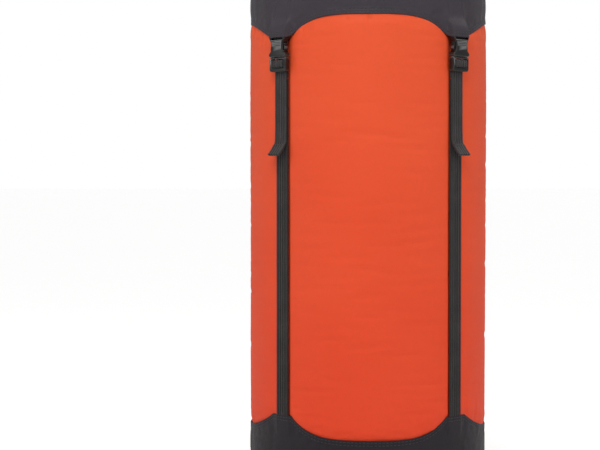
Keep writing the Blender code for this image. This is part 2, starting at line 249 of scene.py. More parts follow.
def grid_normals(points):
    """A unit normal at each point of a grid, facing rows cross columns."""
    normal = np.cross(np.gradient(points, axis=0), np.gradient(points, axis=1))
    return normal / np.maximum(np.linalg.norm(normal, axis=-1, keepdims=True), 1e-12)


def strap_matrix(angle):
    """Takes (u, v, w), across, up and out at a strap, to the world."""
    c, s = heading(angle)
    rows = [(-s, 0.0, c, BUCKLE_RADIUS * c), (c, 0.0, s, BUCKLE_RADIUS * s)]
    return Matrix(rows + [(0.0, 1.0, 0.0, BUCKLE_Z), (0.0, 0.0, 0.0, 1.0)])


def travelled(line):
    """The distance along a line of points at each of them."""
    steps = np.linalg.norm(np.diff(line, axis=0), axis=1)
    return np.concatenate([[0.0], np.cumsum(steps)])


def read_line(line, length, at):
    return np.stack([np.interp(at, length, values) for values in line.T], -1)


def smooth_path(points, count):
    """Points evenly along a smooth curve through the given ones."""
    p = np.array(points, float)
    p = np.vstack([2 * p[0] - p[1], p, 2 * p[-1] - p[-2]])
    curve = []
    for k in range(1, len(p) - 2):
        for t in np.linspace(0.0, 1.0, 24, endpoint=False):
            a, b, c, d = p[k - 1], p[k], p[k + 1], p[k + 2]
            place = 2 * b + (c - a) * t + (2 * a - 5 * b + 4 * c - d) * t * t
            curve.append(0.5 * (place + (3 * b - a - 3 * c + d) * t * t * t))
    curve.append(p[-2])
    curve = np.array(curve)
    length = travelled(curve)
    at = np.linspace(0.0, length[-1], count)
    return read_line(curve, length, at), at


# ---- materials
def assign(thing, **values):
    for key, value in values.items():
        setattr(thing, key, value)
    return thing


def node(tree, kind, **values):
    return assign(tree.nodes.new(kind), **values)


def feed(tree, made, values):
    """Sets or links each input of a node."""
    for key, value in values.items():
        if isinstance(value, (int, float)):
            made.inputs[key].default_value = value
        elif isinstance(value, tuple):
            made.inputs[key].default_value = (*value, 1.0)
        else:
            tree.links.new(value, made.inputs[key])


def maths(tree, operation, a, b=None):
    made = node(tree, "ShaderNodeMath", operation=operation)
    feed(tree, made, {0: a} if b is None else {0: a, 1: b})
    return made.outputs[0]


def times(tree, a, b):
    return maths(tree, "MULTIPLY", a, b)


def wave(tree, along, pitch, kind="SINE"):
    return maths(tree, kind, times(tree, along, TAU / pitch))


def noise_of(tree, vector, scale, detail=2.0, rough=0.5):
    made = node(tree, "ShaderNodeTexNoise")
    values = {"Scale": scale, "Detail": detail, "Roughness": rough, "Vector": vector}
    feed(tree, made, values)
    return made.outputs["Fac"]


def remap(tree, value, low, high, to_low=0.0, to_high=1.0):
    made = node(tree, "ShaderNodeMapRange")
    feed(tree, made, {"Value": value, "From Min": low, "From Max": high})
    feed(tree, made, {"To Min": to_low, "To Max": to_high})
    return made.outputs["Result"]


def mixed_colour(tree, share, first, second, blend="MIX"):
    made = node(tree, "ShaderNodeMix", data_type="RGBA", blend_type=blend)
    feed(tree, made, {0: share, 6: first, 7: second})
    return made.outputs[2]


def bump(tree, height, distance, strength=1.0, normal=None):
    made = node(tree, "ShaderNodeBump")
    feed(tree, made, {"Strength": strength, "Distance": distance, "Height": height})
    if normal is not None:
        feed(tree, made, {"Normal": normal})
    return made.outputs["Normal"]


def darkened(tree, tone, level):
    """The colour times a grey level."""
    shade = node(tree, "ShaderNodeCombineColor")
    feed(tree, shade, {0: level, 1: level, 2: level})
    return mixed_colour(tree, 1.0, tone, shade.outputs[0], "MULTIPLY")


def started(name):
    mat = bpy.data.materials.new(name)
    mat.use_nodes = True
    tree = mat.node_tree
    place = node(tree, "ShaderNodeTexCoord").outputs["Object"]
    apart = node(tree, "ShaderNodeSeparateXYZ")
    tree.links.new(place, apart.inputs[0])
    return mat, tree, tree.nodes["Principled BSDF"], place, apart.outputs


def fabric(name, colour, dark, painted_light_by_height, layout, pitch, sheen, rough):
    """Plain-weave cloth. layout is wall or flat, and the two height tints are painted
    light, low and high up; hollows get painted shade.
    """
    mat, tree, shader, place, xyz = started(name)
    if layout == "wall":
        angle = maths(tree, "ARCTAN2", xyz[1], xyz[0])
        across, along = times(tree, angle, RADIUS), xyz[2]
    else:
        across, along = xyz[0], xyz[1]
    weave = times(tree, wave(tree, across, pitch), wave(tree, along, pitch))
    broad = noise_of(tree, place, 11.0, 3.0)
    fine = noise_of(tree, place, 260.0, 2.0, 0.6)
    crumple = noise_of(tree, place, 75.0, 4.0, 0.55)
    tone = mixed_colour(tree, remap(tree, broad, 0.3, 0.7), dark, colour)
    # Painted light: the colour is tinted by rest height, from the low to the high
    # multipliers.
    height = node(tree, "ShaderNodeAttribute", attribute_name="rest_height")
    height = remap(tree, height.outputs["Fac"], 0.02, 0.42)
    painted_light_tint = mixed_colour(tree, height, *painted_light_by_height)
    tone = mixed_colour(tree, 1.0, tone, painted_light_tint, "MULTIPLY")
    thread = remap(tree, fine, 0.3, 0.7, 0.98, 1.015)
    thread = times(tree, thread, remap(tree, weave, -1.0, 1.0, 0.985, 1.01))
    # Painted shade: hollows, where pointiness is low, are darkened down to 70%.
    concavity_for_painted_shade = node(tree, "ShaderNodeNewGeometry").outputs["Pointiness"]
    thread = times(tree, thread, remap(tree, concavity_for_painted_shade, 0.44, 0.495, 0.7, 1.0))
    soft = bump(tree, crumple, 0.0005, 0.35)
    feed(tree, shader, {
        "Base Color": darkened(tree, tone, thread),
        "Normal": bump(tree, weave, 0.00004, 0.5, soft),
        "Roughness": remap(tree, fine, 0.3, 0.7, rough - 0.05, rough + 0.06),
        "Sheen Weight": sheen,
        "Sheen Roughness": 0.45,
        "Sheen Tint": tuple(c**0.6 for c in colour),
        "Specular IOR Level": 0.3,
    })
    return mat


def webbing_look(name, colour):
    """Flat ribbed webbing: cords along its length crossed by slanted picks."""
    mat, tree, shader, place, xyz = started(name)
    cords = wave(tree, xyz[0], 0.00125)
    slant = times(tree, maths(tree, "ABSOLUTE", cords), 0.0005)
    picks = wave(tree, maths(tree, "ADD", xyz[1], slant), 0.0009)
    weave = times(tree, remap(tree, cords, -1.0, 1.0, 0.3, 1.0), picks)
    fine = noise_of(tree, place, 420.0, 2.0, 0.6)
    wear = noise_of(tree, place, 60.0, 3.0)
    worn = tuple(min(1.0, c * 1.9 + 0.012) for c in colour)
    edge = remap(tree, maths(tree, "ABSOLUTE", xyz[0]), 0.0066, 0.0075, 0.0, 0.6)
    patch = remap(tree, wear, 0.35, 0.75, 0.0, 0.55)
    tone = mixed_colour(tree, maths(tree, "MAXIMUM", edge, patch), colour, worn)
    # Painted shade: the colour darkens in the grooves between cords and, further, between
    # the broad ribs.
    broad = wave(tree, xyz[0], 0.003, "COSINE")
    level = remap(tree, cords, -1.0, 1.0, 0.75, 1.12)
    level = times(tree, level, remap(tree, fine, 0.3, 0.7, 0.88, 1.12))
    level = times(tree, level, remap(tree, broad, -1.0, -0.2, 0.5, 1.05))
    ribs = bump(tree, broad, 0.0004, 0.8, bump(tree, cords, 0.00018, 0.8))
    feed(tree, shader, {
        "Base Color": darkened(tree, tone, level),
        "Normal": bump(tree, weave, 0.0001, 0.8, ribs),
        "Roughness": 0.68,
        "Sheen Weight": 0.12,
        "Sheen Roughness": 0.4,
        "Specular IOR Level": 0.3,
    })
    return mat


def plastic(name, colour):
    """Moulded acetal with a fine spark-eroded grain and a painted highlight on its edges.
    """
    mat, tree, shader, place, _ = started(name)
    grain = noise_of(tree, place, 2600.0, 2.0, 0.6)
    flow = noise_of(tree, place, 90.0, 3.0)
    edge = node(tree, "ShaderNodeNewGeometry").outputs["Pointiness"]
    # Painted highlight: convex edges, where pointiness is high, are lightened, patchily
    # along the flow noise.
    painted_edge_highlight = remap(tree, edge, 0.54, 0.6)
    painted_edge_highlight = times(tree, painted_edge_highlight, remap(tree, flow, 0.3, 0.7, 0.4, 1.0))
    light = tuple(c * 3.0 + 0.24 for c in colour)
    feed(tree, shader, {
        "Base Color": mixed_colour(tree, painted_edge_highlight, colour, light),
        "Normal": bump(tree, grain, 0.00005, 0.5),
        "Roughness": remap(tree, flow, 0.3, 0.7, 0.3, 0.4),
        "Specular IOR Level": 0.4,
    })
    return mat


def thread_look(name, colour):
    """Twisted sewing thread."""
    mat, tree, shader, place, _ = started(name)
    fibre = noise_of(tree, place, 1500.0, 2.0)
    feed(tree, shader, {
        "Base Color": mixed_colour(tree, fibre, colour, tuple(c * 1.8 for c in colour)),
        "Normal": bump(tree, fibre, 0.00006, 0.7),
        "Roughness": 0.5,
        "Sheen Weight": 0.1,
    })
    return mat


def metal(name, colour):
    """Plated metal with fine rubbing marks."""
    mat, tree, shader, place, _ = started(name)
    marks = noise_of(tree, place, 900.0, 3.0)
    feed(tree, shader, {
        "Base Color": mixed_colour(tree, marks, colour, tuple(c * 0.7 for c in colour)),
        "Roughness": remap(tree, marks, 0.3, 0.7, 0.25, 0.42),
        "Normal": bump(tree, marks, 0.00003, 0.4),
        "Metallic": 1.0,
    })
    return mat


ORANGE = (0.83, 0.082, 0.022)
ORANGE_DEEP = (0.8, 0.072, 0.018)
GREY = (0.044, 0.037, 0.045)
GREY_DEEP = (0.036, 0.03, 0.037)
# Painted light by height, as (low, high) colour multipliers: the orange deeper and redder
# low down and paler high up, the grey darker towards the bottom.
ORANGE_PAINTED_LIGHT_BY_HEIGHT = ((1.12, 0.86, 0.9), (1.06, 1.24, 1.24))
GREY_PAINTED_SHADE_BY_HEIGHT = ((0.4, 0.38, 0.41), (1.05, 1.02, 1.06))
LOOK_TUBE = fabric("orange_wall", ORANGE, ORANGE_DEEP, ORANGE_PAINTED_LIGHT_BY_HEIGHT, "wall", 0.0005, 0.09, 0.6)
LOOK_DOME = fabric("orange_flat", ORANGE, ORANGE_DEEP, ORANGE_PAINTED_LIGHT_BY_HEIGHT, "flat", 0.0005, 0.09, 0.6)
LOOK_BAND = fabric("grey_wall", GREY, GREY_DEEP, GREY_PAINTED_SHADE_BY_HEIGHT, "wall", 0.0006, 0.2, 0.52)
LOOK_BASE = fabric("grey_flat", GREY, GREY_DEEP, GREY_PAINTED_SHADE_BY_HEIGHT, "flat", 0.0006, 0.2, 0.6)
LOOK_TAIL = webbing_look("webbing_tail", (0.036, 0.031, 0.031))
LOOK_WEB = webbing_look("webbing_load", (0.026, 0.021, 0.021))
LOOK_PLASTIC = plastic("moulded_black", (0.007, 0.0068, 0.0062))
LOOK_THREAD = thread_look("thread_grey", (0.021, 0.018, 0.021))
LOOK_ORANGE_THREAD = thread_look("thread_orange", (0.62, 0.085, 0.035))
LOOK_METAL = metal("dark_nickel", (0.42, 0.41, 0.4))


# ---- camera and studio
def seen_directly(tree, otherwise, level):
    """One level for what the camera sees, another for the light it gives."""
    seen = node(tree, "ShaderNodeLightPath").outputs["Is Camera Ray"]
    return remap(tree, seen, 0.0, 1.0, otherwise, level)


def build_studio():
    scene = bpy.context.scene
    scene.view_settings.view_transform = "Standard"
    scene.view_settings.look = "None"
    camera = linked("camera", bpy.data.cameras.new("camera"))
    scene.camera = camera
    assign(camera.data, sensor_width=36.0, lens=98.2, clip_start=0.05, clip_end=50.0)
    turn, tilt = math.radians(1.68), math.radians(1.575)
    ahead = Vector((-math.sin(turn), math.cos(turn), -math.tan(tilt)))
    aimed(camera, (-0.0183, -1.5199, 0.268), ahead)

    world = bpy.data.worlds.new("studio")
    scene.world = world
    world.use_nodes = True
    tree = world.node_tree
    back = tree.nodes["Background"]
    strength = seen_directly(tree, 0.36, 1.0)
    feed(tree, back, {"Color": (1.0, 1.0, 1.0), "Strength": strength})
    lamps = (
        ("key", "AREA", (-0.15, -0.9, 1.05), 0.6, 5.1),
        ("fill", "AREA", (1.3, -1.1, 0.75), 1.0, 4.1),
        ("side", "AREA", (-1.5, -0.5, 0.6), 1.0, 3.4),
        ("top", "SUN", (0.2, 0.5, 1.6), 80.0, 1.5),
    )
    for name, kind, place, size, power in lamps:
        data = bpy.data.lights.new(name, kind)
        data.energy = power
        if kind == "SUN":
            data.angle = math.radians(size)
        else:
            data.shape = "DISK"
            data.size = size
        aimed(linked(name, data), place, Vector((0.0, 0.0, 0.28)) - Vector(place))

    mat, tree, shader, spot, _ = started("pale_floor")
    cloud = noise_of(tree, spot, 1.5, 2.0)
    feed(tree, shader, {
        "Base Color": mixed_colour(tree, cloud, (0.61, 0.61, 0.61), (0.63, 0.63, 0.625)),
        "Roughness": 0.75,
        "Emission Color": (1.0, 1.0, 1.0),
        "Emission Strength": seen_directly(tree, 0.0, 0.46),
    })
    angles = around(96)
    radii = np.array([0.0005, 0.5, 1.5, 4.0, 12.0, 60.0])
    points = polar(angles[:, None], radii[None, :], -0.0002)
    floor = add_grid("floor", points, mat, close_rows=True, flip=True)


# ---- cloth simulation
CLOTH_SCALE = 10.0
CLOTH_FRAMES = 20
SKIN_LOW, SKIN_HIGH = 0.012, 0.4385


def inflate(points, pinned, pressure, spare):
    """Blows up a sheet with spare cloth, held where pinned, by Blender's cloth."""
    scene = bpy.context.scene
    rows, columns = points.shape[:2]
    mesh = bpy.data.meshes.new("cloth")
    faces = grid_faces(rows, columns, True)[:, ::-1].tolist()
    mesh.from_pydata((points.reshape(-1, 3) * CLOTH_SCALE).tolist(), [], faces)
    mesh.update()
    item = linked("cloth", mesh)
    held = item.vertex_groups.new(name="held")
    held.add(np.nonzero(pinned.reshape(-1))[0].tolist(), 1.0, "REPLACE")
    cloth = item.modifiers.new("cloth", "CLOTH")
    given = cloth.settings
    assign(given, quality=5, mass=0.3, tension_stiffness=15.0, compression_stiffness=15.0)
    assign(given, shear_stiffness=7.5, bending_stiffness=0.5, air_damping=2.0)
    assign(given, vertex_group_mass="held", shrink_min=-spare)
    assign(given, use_pressure=True, uniform_pressure_force=pressure)
    given.effector_weights.gravity = 0.0
    assign(cloth.collision_settings, use_collision=False, use_self_collision=False)
    assign(cloth.point_cache, frame_start=1, frame_end=CLOTH_FRAMES)
    for number in range(1, CLOTH_FRAMES + 1):
        scene.frame_set(number)
    graph = bpy.context.evaluated_depsgraph_get()
    result = item.evaluated_get(graph).to_mesh()
    moved = np.empty(len(result.vertices) * 3)
    result.vertices.foreach_get("co", moved)
    bpy.data.objects.remove(item, do_unlink=True)
    scene.frame_set(1)
    return moved.reshape(points.shape) / CLOTH_SCALE


def blurred(table, passes):
    """The table smoothed; it repeats in its first direction."""
    for _ in range(passes):
        table = (np.roll(table, 1, 0) + 2.0 * table + np.roll(table, -1, 0)) / 4.0
        wide = np.concatenate([table[:, :1], table, table[:, -1:]], 1)
        table = (wide[:, :-2] + 2.0 * wide[:, 1:-1] + wide[:, 2:]) / 4.0
    return table


def sampled(table, x, y):
    """Cubic reading of a table that repeats in x, at fractional places."""
    xi, yi, fx, fy = cells(x, y)

    def weights(t):
        return (
            ((2.0 - t) * t - 1.0) * t * 0.5,
            ((3.0 * t - 5.0) * t * t + 2.0) * 0.5,
            ((4.0 - 3.0 * t) * t + 1.0) * t * 0.5,
            (t - 1.0) * t * t * 0.5,
        )

    total = np.zeros(fx.shape)
    for i, across in enumerate(weights(fx)):
        for j, along in enumerate(weights(fy)):
            row = (xi + i - 1) % table.shape[0]
            column = np.clip(yi + j - 1, 0, table.shape[1] - 1)
            total += table[row, column] * across * along
    return total


def simulated_skin():
    """How far the wall's cloth stands out: its broad swell and its wrinkles."""
    phi = around(216)
    z = np.linspace(SKIN_LOW, SKIN_HIGH, 132)
    phi, z = crossed(phi, z)
    jitter = np.random.RandomState(5).uniform(-0.00015, 0.00015, phi.shape)
    held = (z < SKIN_LOW + 0.0005) | (z > SKIN_HIGH - 0.0005)
    held |= np.abs(z - low_edge(phi)) < 0.0021
    held |= np.abs(z - high_edge(phi)) < 0.0021
    held |= (strap_distance(phi) < 0.0085) & (z > 0.045)
    start = polar(phi, RADIUS + np.where(held, 0.0, jitter), z)
    moved = inflate(start, held, 4.0, 0.03)
    out = np.hypot(moved[..., 0], moved[..., 1]) - RADIUS
    broad = blurred(out, 10)
    return broad, out - broad


def skin_swell(phi, z):
    x = np.mod(phi, TAU) / TAU * SKIN_BROAD.shape[0]
    y = (z - SKIN_LOW) / (SKIN_HIGH - SKIN_LOW) * (SKIN_BROAD.shape[1] - 1)
    return sampled(SKIN_BROAD, x, y), sampled(SKIN_FINE, x, y)


DOME_RINGS = np.linspace(PANEL_EDGE, MOUTH_EDGE, 44)


def simulated_dome():
    """How far the top panel's cloth stands above its even dome."""
    phi = around(220)
    phi, radius = crossed(phi, DOME_RINGS)
    height = dome_z(np.minimum(radius, PANEL_RADIUS))
    jitter = np.random.RandomState(6).uniform(-0.0002, 0.0002, phi.shape)
    gathers = 0.0006 * np.cos(phi * 24.0 + 1.5 * jitter) * (radius < 0.045)
    held = (radius > 0.104) | (radius < 0.0195)
    start = polar(phi, radius, height + np.where(held, 0.0, jitter + gathers))
    moved = inflate(start, held, 3.0, 0.045)
    return moved[..., 2] - height


SKIN_BROAD, SKIN_FINE = simulated_skin()
DOME_CLOTH = simulated_dome()


# ---- fabric tube
def near_strap(phi):
    return 1.0 - step(np.abs(strap_distance(phi)), 0.012, 0.06)


def puckers(phi, distance, seed, reach=0.01):
    """Short folds that run away from a seam, in loose clusters."""
    folds = ring_noise(phi, 64, distance / 0.035, seed)
    folds += 0.6 * ring_noise(phi, 117, distance / 0.02, seed + 1)
    gate = step(ring_noise(phi, 17, 0.5, seed + 2), -0.25, 0.7)
    return folds * (0.25 + 0.75 * gate) * np.exp(-np.maximum(distance, 0.0) / reach)


def tube_offset(phi, z):
    """How far the orange fabric stands out of, or sinks below, its cylinder."""
    low, high = z - low_edge(phi), high_edge(phi) - z
    inside = step(low, 0.0, 0.006) * step(high, 0.0, 0.006)
    broad, fine = skin_swell(phi, z)
    out = -0.0012 + 0.15 * np.minimum(broad, 0.007) * inside
    out += 0.32 * np.clip(fine, -0.0016, 0.0016) * inside
    out += 0.0004 * ring_noise(phi, 7, z / 0.11, 11) * inside
    for distance, seed in ((low, 31), (high, 41)):
        out += 0.0006 * puckers(phi, distance, seed)
        wander = ring_noise(phi, 104, distance / 0.04, seed + 5)
        crease = np.exp(-((wander / 0.26) ** 2)) * np.exp(-np.maximum(distance, 0) / 0.011)
        clusters = step(ring_noise(phi, 23, 0.5, seed + 6), -0.3, 0.4)
        out -= 0.0012 * crease * clusters * step(distance, 0.0, 0.002)
        out -= 0.0012 * (1.0 - step(distance, -0.001, 0.002))
        out -= 0.002 * (1.0 - step(distance, -0.01, -0.001))
    beside = strap_distance(phi)
    out += 0.0009 * step(beside, 0.006, 0.011) * (1.0 - step(beside, 0.014, 0.045))
    drift = 1.4 * ring_noise(phi, 9, z / 0.09, 51)
    bands = ring_noise(phi, 18, z / 0.017 + drift, 52)
    out += 0.00018 * bands * (0.3 + 0.7 * near_strap(phi)) * inside
    return out


def panel_columns(centre, width):
    """Angle and depth below the surface of each column across a panel."""
    half = math.radians(width)
    turns = [0.5 * math.pi * k / 7.0 for k in range(1, 8)]
    inward = [PANEL_SIDE - 0.0011 * math.sin(turn) for turn in turns]
    inward += [0.007 - 0.0003 * k for k in range(1, 4)]
    drops = [0.003 * (1.0 - math.cos(turn)) for turn in turns]
    drops += [0.003 + 0.003 * k for k in range(1, 4)]
    sides = half - np.array(inward) / RADIUS
    edge = half - PANEL_SIDE / RADIUS
    angles = np.concatenate([-sides[::-1], np.linspace(-edge, edge, 141), sides])
    return angles + math.radians(centre), np.array(drops[::-1] + [0.0] * 141 + drops)


def build_panels():
    low_rows = np.concatenate(
        [np.linspace(0.028, 0.09, 42), np.linspace(0.09, HALF_Z, 56)[1:]]
    )
    high_rows = np.concatenate(
        [np.linspace(HALF_Z, 0.366, 56), np.linspace(0.366, 0.425, 40)[1:]]
    )
    rows = np.concatenate([low_rows, high_rows[1:]])
    middle = len(low_rows) - 1
    for face, (centre, width) in FACES.items():
        phi, drop = panel_columns(centre, width)
        phi2, z2 = crossed(phi, rows)
        offset = tube_offset(phi2, z2) - drop[:, None]
        points = polar(phi2, RADIUS + offset, z2)
        normals = grid_normals(points)
        lip = []
        for inward in (0.0012, 0.004, 0.009):
            turned = points[:, middle] * (1.0 - inward / RADIUS)
            turned[:, 2] = HALF_Z
            lip.append(turned[:, None])
        lip_normals = np.repeat(normals[:, middle : middle + 1], 3, 1)
        for half, rows_used, body, cad in (
            ("low", slice(0, middle + 1), "lower", "body_lower"),
            ("high", slice(middle, None), "upper", "body_upper"),
        ):
            part = [points[:, rows_used]] + lip
            part_normals = [normals[:, rows_used], lip_normals]
            if half == "high":
                part, part_normals = part[::-1], part_normals[::-1]
            sheet = np.concatenate(part, 1)
            item = add_grid(f"panel_{half}_{face}", sheet, LOOK_TUBE, flip=True)
            flat = np.concatenate(part_normals, 1).reshape(-1, 3).tolist()
            item.data.normals_split_custom_set_from_vertices(flat)
            dress(item, "orange_fabric", body, cad)
            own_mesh(item)


def build_inner():
    """Backing behind the straps, and the stuffed core that rides in the middle."""
    across = np.linspace(-BED_HALF_WIDTH, BED_HALF_WIDTH, 19)
    for where, angle in STRAPS.items():
        for half, low, high, body, height in (
            ("low", 0.03, HALF_Z, "lower", LOW_MIDDLE),
            ("high", HALF_Z, 0.42, "upper", HIGH_MIDDLE),
        ):
            z = np.linspace(low, high, 70)
            u, z2 = crossed(across, z)
            phi = math.radians(angle) + u / RADIUS
            depth = -0.0042 - 0.0012 * (u / BED_HALF_WIDTH) ** 2
            depth += 0.0004 * smooth_noise(u / 0.01 + 7.0, z2 / 0.014, 61)
            points = polar(phi, RADIUS + depth, z2)
            item = add_grid(f"strap_bed_{half}_{where}", points, LOOK_TUBE, flip=True)
            dress(item, "orange_fabric", body)
            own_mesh(item)
    low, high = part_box("body_middle")
    low_z, high_z = low.z + 0.004, high.z - 0.004
    phi = around(180)
    t = np.linspace(0.0, 1.0, 80)
    radius = CORE_RADIUS * np.minimum(1.0, (1.0 - (2.0 * t - 1.0) ** 12)) ** 0.25
    z = low_z + (high_z - low_z) * (0.5 - 0.5 * np.cos(math.pi * t))
    phi2, radius2 = crossed(phi, radius)
    z2 = np.broadcast_to(z, phi2.shape)
    waves = ring_noise(phi2, 20, z2 / 0.012, 71)
    radius2 = np.maximum(radius2 + 0.0012 * waves * (radius2 > 0.05), 0.0004)
    core = add_grid("stuffed_core", polar(phi2, radius2, z2), LOOK_TUBE, True)
    dress(core, "orange_fabric", "middle", "body_middle")


# ---- bands
HEM = 0.0052
EDGE_ROWS = (
    (-0.001, 0.004), (-0.0009, 0.0012), (-0.0008, 0.0002), (-0.0005, -0.00012),
    (-0.0001, 0.0), (0.0002, 0.0002),
)


def band_relief(phi, z, distance, upper):
    """Offset of a band's outer face: hem, stitch lines, folds and what it covers."""
    share = phi / TAU
    out = -0.0011 + 0.0005 * ring_noise(phi, 8, z / 0.05, 81 + upper)
    out += 0.00028 * (1.0 - step(distance, HEM - 0.0006, HEM + 0.0012))
    for line in STITCH_LINES:
        out -= 0.00022 * np.exp(-(((distance - line) / 0.00045) ** 2))
    out += 0.00042 * puckers(phi, distance, 83 + 7 * upper, 0.016)
    folds = smooth_noise(share * 46.0 + z / 0.09, z / 0.04, 85 + upper, 46)
    gate = step(ring_noise(phi, 10, z / 0.03, 87 + upper), -0.1, 0.7)
    out += 0.00055 * folds * gate
    broad, fine = skin_swell(phi, z)
    free = step(distance, 0.001, 0.008)
    out += free * (0.12 * broad + 0.5 * np.clip(fine, -0.002, 0.002))
    beside = ring_noise(phi, 88, z / 0.07, 89 + upper)
    out += 0.0005 * free * beside * step(np.abs(np.cos(phi)), 0.86, 0.97)
    u = strap_distance(phi)
    if upper:
        lift = (1.0 - step(u, 0.008, 0.018)) * (1.0 - step(z, 0.405, 0.431))
        out += 0.0034 * lift
        hood = (1.0 - step(u, 0.0084, 0.0116)) * (1.0 - step(z, 0.3985, 0.413))
        out += 0.0056 * hood
        line = np.exp(-(((u - 0.0078) / 0.0011) ** 2)) * (1.0 - step(z, 0.428, 0.441))
        out -= 0.0003 * line * step(z, 0.402, 0.41)
    else:
        beneath = 1.0 - step(u, 0.009, 0.015)
        cover = -0.0006 + 0.0009 * (1.0 - step(u, 0.0076, 0.01)) * step(z, 0.04, 0.048)
        out += beneath * (cover + 0.12 * (out + 0.0011) - out)
    return out


BAND_ROWS = (
    0.0004, 0.0008, 0.0012, 0.0016, 0.002, 0.0025, 0.003, 0.0034, 0.0038, 0.0042,
    0.0046, 0.0051, 0.0057, 0.0064,
)


def band_points(upper, phi):
    """(columns, rows, 3) points of a band."""
    edge = high_edge(phi) if upper else low_edge(phi)
    shoulder_z = HIGH_SHOULDER_Z if upper else LOW_SHOULDER_Z
    sign = 1.0 if upper else -1.0
    columns = []
    edge_offset = band_relief(phi, edge + sign * 0.0002, 0.0002 + 0 * phi, upper)
    for offset, rise in EDGE_ROWS:
        columns.append(polar(phi, RADIUS + edge_offset + offset, edge + sign * rise))
    rows = [(edge + sign * distance, distance + 0 * phi) for distance in BAND_ROWS]
    start = rows[-1][0]
    for share in np.linspace(0.0, 1.0, 18)[1:]:
        z = start + (shoulder_z - start) * share
        rows.append((z, np.abs(z - edge)))
    for z, distance in rows:
        out = band_relief(phi, z, distance, upper)
        columns.append(polar(phi, RADIUS + out + 0.0002, z))
    ring = RADIUS - SHOULDER
    rim_folds = puckers(phi, 0.0 * phi, 95 + upper, 0.01)
    for share in np.linspace(0.0, 1.0, 10)[1:]:
        angle = math.radians(62.0 * share)
        z = shoulder_z + 0.0 * phi
        out = band_relief(phi, z, np.abs(z - edge), upper) + 0.0002
        reach = SHOULDER + out * (1.0 - share) + 0.0005 * rim_folds * share
        radius = ring + reach * math.cos(angle)
        z = shoulder_z + sign * reach * math.sin(angle)
        columns.append(polar(phi, radius, z))
    return np.stack(columns, 1)


def band_angles():
    """Angles round a band, closer together where it covers a buckle."""
    near = 0.0145 / RADIUS
    angles = []
    for name in ("right", "back", "left", "front"):
        centre, width = (math.radians(value) for value in FACES[name])
        low, high = centre - width, centre + width
        angles += list(np.linspace(low, low + near, 46, endpoint=False))
        angles += list(np.linspace(low + near, high - near, 96, endpoint=False))
        angles += list(np.linspace(high - near, high, 46, endpoint=False))
    return np.array(angles)


def build_bands():
    phi = band_angles()
    for upper, name, body in ((0, "lower_band", "lower"), (1, "upper_band", "upper")):
        points = band_points(upper, phi)
        item = add_grid(f"{name}_cloth", points, LOOK_BAND, True, False, not upper)
        dress(item, "grey_fabric", body, name)
        sign = 1.0 if upper else -1.0
        fine = around(4000)
        normal = polar(fine, 1.0, 0.0)
        edge = high_edge(fine) if upper else low_edge(fine)
        for k, distance in enumerate(STITCH_LINES):
            z = edge + sign * distance
            out = band_relief(fine, z, distance + 0 * fine, upper)
            line = polar(fine, RADIUS + out + 0.00022, z)
            stitches(f"{name}_stitch_{k}", line, normal, LOOK_THREAD, body)


STITCH_PITCH, STITCH_LENGTH = 0.0034, 0.0026
THREAD_HALF_WIDTH, THREAD_HALF_DEPTH = 0.0003, 0.00022


def stitches(name, line, normal, look, body):
    """A row of thread stitches on a closed line of points."""
    closed = np.vstack([line, line[:1]])
    at = travelled(closed)
    count = int(at[-1] / STITCH_PITCH)
    centres = (np.arange(count) + 0.5) * at[-1] / count
    first, last = (
        read_line(closed, at, np.mod(centres + shift, at[-1]))
        for shift in (-0.5 * STITCH_LENGTH, 0.5 * STITCH_LENGTH)
    )
    out = normal[np.searchsorted(at, centres) % len(line)]
    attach(thread_pieces(name, first, last, out, look), body)


def thread_pieces(name, first, last, out, look):
    """One mesh of short rounded threads between pairs of points."""
    along = last - first
    length = np.linalg.norm(along, axis=1, keepdims=True)
    along = along / np.maximum(length, 1e-9)
    side = np.cross(out, along)
    side /= np.maximum(np.linalg.norm(side, axis=1, keepdims=True), 1e-9)
    rings = ((0.0, 0.35, -0.00012), (0.16, 0.9, 0.00004), (0.5, 1.0, 0.0001))
    rings += ((0.84, 0.9, 0.00004), (1.0, 0.35, -0.00012))
    turns = np.arange(6) * TAU / 6.0
    points, faces = [], []
    for share, size, lift in rings:
        centre = first + along * (length * share) + out * lift
        for turn in turns:
            across = side * (THREAD_HALF_WIDTH * size * math.cos(turn))
            above = out * (THREAD_HALF_DEPTH * size * math.sin(turn))
            points.append(centre + across + above)
    points = np.stack(points, 1).reshape(-1, 3)
    block = len(rings) * len(turns)
    ring_quads = grid_faces(len(rings), len(turns), False, True)
    for base in range(0, block * len(first), block):
        faces += (ring_quads + base).tolist()
        faces.append([base + j for j in range(5, -1, -1)])
        faces.append([base + block - 6 + j for j in range(6)])
    return add_mesh(name, points, faces, look)


# ---- top and bottom
def dome_relief(phi, radius):
    """The simulated cloth's height over the even dome, with fine puckers."""
    place = (DOME_RINGS[0] - radius) / (DOME_RINGS[0] - DOME_RINGS[-1])
    x = np.mod(phi, TAU) / TAU * DOME_CLOTH.shape[0]
    rise = sampled(DOME_CLOTH, x, place * (DOME_CLOTH.shape[1] - 1))
    rise = 0.3 * np.clip(rise, -0.004, 0.009)
    rise += 0.0005 * puckers(phi, PANEL_EDGE - radius, 101, 0.012)
    return rise + 0.0005 * ring_noise(phi, 7, radius / 0.03, 103)


